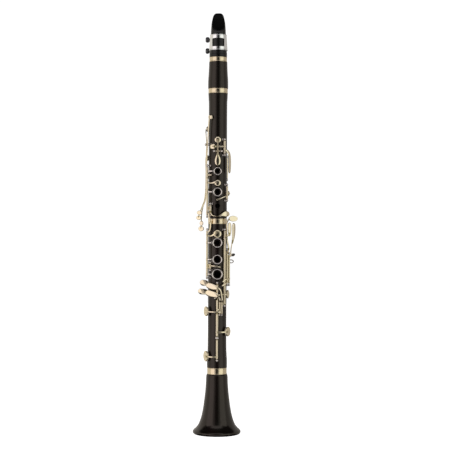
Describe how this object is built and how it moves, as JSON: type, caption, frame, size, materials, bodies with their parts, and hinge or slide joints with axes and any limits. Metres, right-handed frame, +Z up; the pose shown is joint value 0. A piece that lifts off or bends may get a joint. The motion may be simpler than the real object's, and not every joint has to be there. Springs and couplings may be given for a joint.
{
  "type": "clarinet",
  "caption": "Straight black-wood clarinet with pale gold keywork: separate joints, flared bell, and sprung keys, rings and levers on hinge rods.",
  "frame": {"origin": "centre of the bell's foot, on the surface that the instrument stands on", "axes": "+Z up the bore towards the mouthpiece, -Y towards the finger-hole side, +X to the side of the left-hand little-finger levers"},
  "size_m": [0.076, 0.076, 0.6664],
  "materials": {
    "grenadilla": "oiled, near-black brown with fine grain",
    "ebonite": "satin black hard rubber",
    "key_metal": "polished pale champagne plating",
    "ring_metal": "polished pale gold plating",
    "ligature_metal": "bright silver plating",
    "cork": "sanded tenon cork",
    "pad_skin": "pale skin over felt",
    "cane": "dry reed cane"
  },
  "bodies": {
    "root": {"lower_joint": "grenadilla", "lower_joint_top_ring": "ring_metal", "lower_joint_cork": "cork", "bell": "grenadilla", "bell_ring": "ring_metal", "thumb_rest": "key_metal", "thumb_rest_screw": "key_metal", "upper_joint": "grenadilla", "upper_joint_top_cork": "cork", "upper_joint_bottom_cork": "cork"},
    "head": {"barrel": "grenadilla", "barrel_upper_ring": "ring_metal", "barrel_lower_ring": "ring_metal", "mouthpiece": "ebonite", "mouthpiece_cork": "cork", "reed": "cane", "ligature_band": "ligature_metal"},
    "ligature_screw_lower": {"ligature_screw_lower": "ligature_metal"},
    "ligature_screw_upper": {"ligature_screw_upper": "ligature_metal"},
    "register_key": {"register_key": "key_metal", "register_key_pad": "pad_skin"},
    "thumb_ring_key": {"thumb_ring_key": "key_metal", "thumb_ring_key_pad": "pad_skin"},
    "a_key": {"a_key": "key_metal", "a_key_pad": "pad_skin"},
    "g_sharp_key": {"g_sharp_key": "key_metal", "g_sharp_key_pad": "pad_skin"},
    "side_key_1": {"side_key_1": "key_metal", "side_key_1_pad": "pad_skin"},
    "side_key_2": {"side_key_2": "key_metal", "side_key_2_pad": "pad_skin"},
    "side_key_3": {"side_key_3": "key_metal", "side_key_3_pad": "pad_skin"},
    "side_key_4": {"side_key_4": "key_metal", "side_key_4_pad": "pad_skin"},
    "second_ring_key": {"second_ring_key": "key_metal", "second_ring_key_pad": "pad_skin"},
    "upper_e_flat_key": {"upper_e_flat_key": "key_metal", "upper_e_flat_key_pad": "pad_skin"},
    "c_sharp_g_sharp_key": {"c_sharp_g_sharp_key": "key_metal", "c_sharp_g_sharp_key_pad": "pad_skin"},
    "lower_ring_key": {"lower_ring_key": "key_metal", "lower_ring_key_pad": "pad_skin"},
    "fork_key": {"fork_key": "key_metal", "fork_key_pad": "pad_skin"},
    "a_flat_e_flat_key": {"a_flat_e_flat_key": "key_metal", "a_flat_e_flat_key_pad": "pad_skin"},
    "f_sharp_c_sharp_key": {"f_sharp_c_sharp_key": "key_metal", "f_sharp_c_sharp_key_pad": "pad_skin"},
    "f_c_key": {"f_c_key": "key_metal", "f_c_key_pad": "pad_skin"},
    "e_b_key": {"e_b_key": "key_metal", "e_b_key_pad": "pad_skin"},
    "first_ring_key": {"first_ring_key": "key_metal"},
    "f_c_touch_lever": {"f_c_touch_lever": "key_metal"},
    "lh_f_sharp_c_sharp_lever": {"lh_f_sharp_c_sharp_lever": "key_metal"},
    "lh_e_b_lever": {"lh_e_b_lever": "key_metal"},
    "lh_f_c_lever": {"lh_f_c_lever": "key_metal"}
  },
  "joints": [
    {"name": "register_key_hinge", "type": "hinge", "parent": "root", "child": "register_key", "pos_m": [0, 0.0176, 0.468], "axis": [-1, 0, 0], "range_deg": [0, 5], "stiffness_Nm_per_rad": 0.03, "springref_deg": -14.32},
    {"name": "thumb_ring_key_hinge", "type": "hinge", "parent": "root", "child": "thumb_ring_key", "pos_m": [0.01466, 0.01145, 0.422], "axis": [0, 0, 1], "range_deg": [0, 4.5], "stiffness_Nm_per_rad": 0.03, "springref_deg": -14.32},
    {"name": "a_key_hinge", "type": "hinge", "parent": "root", "child": "a_key", "pos_m": [0.00036, -0.0174, 0.446], "axis": [0.9998, 0.0209, 0], "range_deg": [0, 8], "stiffness_Nm_per_rad": 0.03, "springref_deg": -14.32},
    {"name": "g_sharp_key_hinge", "type": "hinge", "parent": "root", "child": "g_sharp_key", "pos_m": [0.0107, -0.01521, 0.4535], "axis": [0, 0, 1], "range_deg": [0, 8], "stiffness_Nm_per_rad": 0.03, "springref_deg": -14.32},
    {"name": "side_key_1_hinge", "type": "hinge", "parent": "root", "child": "side_key_1", "pos_m": [-0.01684, -0.00732, 0.457], "axis": [0.3987, -0.9171, 0], "range_deg": [0, 1.8], "stiffness_Nm_per_rad": 0.03, "springref_deg": -14.32},
    {"name": "side_key_2_hinge", "type": "hinge", "parent": "root", "child": "side_key_2", "pos_m": [-0.01684, -0.00732, 0.457], "axis": [0.3987, -0.9171, 0], "range_deg": [0, 1.8], "stiffness_Nm_per_rad": 0.03, "springref_deg": -14.32},
    {"name": "side_key_3_hinge", "type": "hinge", "parent": "root", "child": "side_key_3", "pos_m": [-0.01796, 0.00349, 0.386], "axis": [-0.1908, -0.9816, 0], "range_deg": [0, 3.5], "stiffness_Nm_per_rad": 0.03, "springref_deg": -14.32},
    {"name": "side_key_4_hinge", "type": "hinge", "parent": "root", "child": "side_key_4", "pos_m": [-0.01796, 0.00349, 0.386], "axis": [-0.1908, -0.9816, 0], "range_deg": [0, 3.5], "stiffness_Nm_per_rad": 0.03, "springref_deg": -14.32},
    {"name": "first_ring_key_hinge", "type": "hinge", "parent": "root", "child": "first_ring_key", "pos_m": [-0.0164, -0.01247, 0.4146], "axis": [0, 0, 1], "range_deg": [0, 4.5], "stiffness_Nm_per_rad": 0.03, "springref_deg": -14.32},
    {"name": "second_ring_key_hinge", "type": "hinge", "parent": "root", "child": "second_ring_key", "pos_m": [-0.0164, -0.01247, 0.382], "axis": [0, 0, 1], "range_deg": [0, 4.5], "stiffness_Nm_per_rad": 0.03, "springref_deg": -14.32},
    {"name": "upper_e_flat_key_hinge", "type": "hinge", "parent": "root", "child": "upper_e_flat_key", "pos_m": [0.0149, -0.01113, 0.38], "axis": [0, 0, 1], "range_deg": [-7, 0], "stiffness_Nm_per_rad": 0.03, "springref_deg": 14.32},
    {"name": "c_sharp_g_sharp_key_hinge", "type": "hinge", "parent": "root", "child": "c_sharp_g_sharp_key", "pos_m": [-0.0112, -0.01485, 0.356], "axis": [0, 0, 1], "range_deg": [0, 5], "stiffness_Nm_per_rad": 0.03, "springref_deg": -14.32},
    {"name": "lower_ring_key_hinge", "type": "hinge", "parent": "root", "child": "lower_ring_key", "pos_m": [-0.0163, -0.0126, 0.2757], "axis": [0, 0, 1], "range_deg": [0, 4.5], "stiffness_Nm_per_rad": 0.03, "springref_deg": -14.32},
    {"name": "fork_key_hinge", "type": "hinge", "parent": "root", "child": "fork_key", "pos_m": [-0.0114, -0.0147, 0.265], "axis": [0, 0, 1], "range_deg": [0, 5], "stiffness_Nm_per_rad": 0.03, "springref_deg": -14.32},
    {"name": "a_flat_e_flat_key_hinge", "type": "hinge", "parent": "root", "child": "a_flat_e_flat_key", "pos_m": [0, -0.0186, 0.226], "axis": [0, 0, 1], "range_deg": [-6, 0], "stiffness_Nm_per_rad": 0.03, "springref_deg": 14.32},
    {"name": "f_sharp_c_sharp_key_hinge", "type": "hinge", "parent": "root", "child": "f_sharp_c_sharp_key", "pos_m": [0.0073, -0.01711, 0.2], "axis": [0, 0, 1], "range_deg": [-4, 0], "stiffness_Nm_per_rad": 0.03, "springref_deg": 14.32},
    {"name": "f_c_touch_lever_hinge", "type": "hinge", "parent": "root", "child": "f_c_touch_lever", "pos_m": [0.0041, -0.01814, 0.2], "axis": [0, 0, 1], "range_deg": [-4.5, 0], "stiffness_Nm_per_rad": 0.03, "springref_deg": 14.32},
    {"name": "f_c_key_hinge", "type": "hinge", "parent": "root", "child": "f_c_key", "pos_m": [0, -0.0186, 0.162], "axis": [0, 0, 1], "range_deg": [0, 4.5], "stiffness_Nm_per_rad": 0.03, "springref_deg": -14.32},
    {"name": "e_b_key_hinge", "type": "hinge", "parent": "root", "child": "e_b_key", "pos_m": [0, -0.0186, 0.1226], "axis": [0, 0, 1], "range_deg": [-4.5, 0], "stiffness_Nm_per_rad": 0.03, "springref_deg": 14.32},
    {"name": "lh_f_sharp_c_sharp_lever_hinge", "type": "hinge", "parent": "root", "child": "lh_f_sharp_c_sharp_lever", "pos_m": [0.0115, -0.01462, 0.26275], "axis": [0, 0, 1], "range_deg": [0, 6], "stiffness_Nm_per_rad": 0.03, "springref_deg": -14.32},
    {"name": "lh_e_b_lever_hinge", "type": "hinge", "parent": "root", "child": "lh_e_b_lever", "pos_m": [0.01543, -0.01142, 0.2635], "axis": [0, 0, 1], "range_deg": [0, 6], "stiffness_Nm_per_rad": 0.03, "springref_deg": -14.32},
    {"name": "lh_f_c_lever_hinge", "type": "hinge", "parent": "root", "child": "lh_f_c_lever", "pos_m": [0.01842, -0.0067, 0.2605], "axis": [0, 0, 1], "range_deg": [0, 6], "stiffness_Nm_per_rad": 0.03, "springref_deg": -14.32},
    {"name": "barrel_tuning_slide", "type": "slide", "parent": "root", "child": "head", "axis": [0, 0, 1], "range_m": [0, 0.003]},
    {"name": "ligature_screw_lower_turn", "type": "hinge", "parent": "head", "child": "ligature_screw_lower", "pos_m": [0, 0.0166, 0.6076], "axis": [-1, 0, 0], "continuous": true},
    {"name": "ligature_screw_upper_turn", "type": "hinge", "parent": "head", "child": "ligature_screw_upper", "pos_m": [0, 0.0166, 0.6254], "axis": [-1, 0, 0], "continuous": true}
  ],
  "couplings": [
    {"joint": "f_c_key_hinge", "follows": "f_c_touch_lever_hinge", "ratio": -1},
    {"joint": "lh_f_c_lever_hinge", "follows": "f_c_touch_lever_hinge", "ratio": -1.2},
    {"joint": "lh_e_b_lever_hinge", "follows": "e_b_key_hinge", "ratio": -1.2},
    {"joint": "lh_f_sharp_c_sharp_lever_hinge", "follows": "f_sharp_c_sharp_key_hinge", "ratio": -1.4}
  ]
}
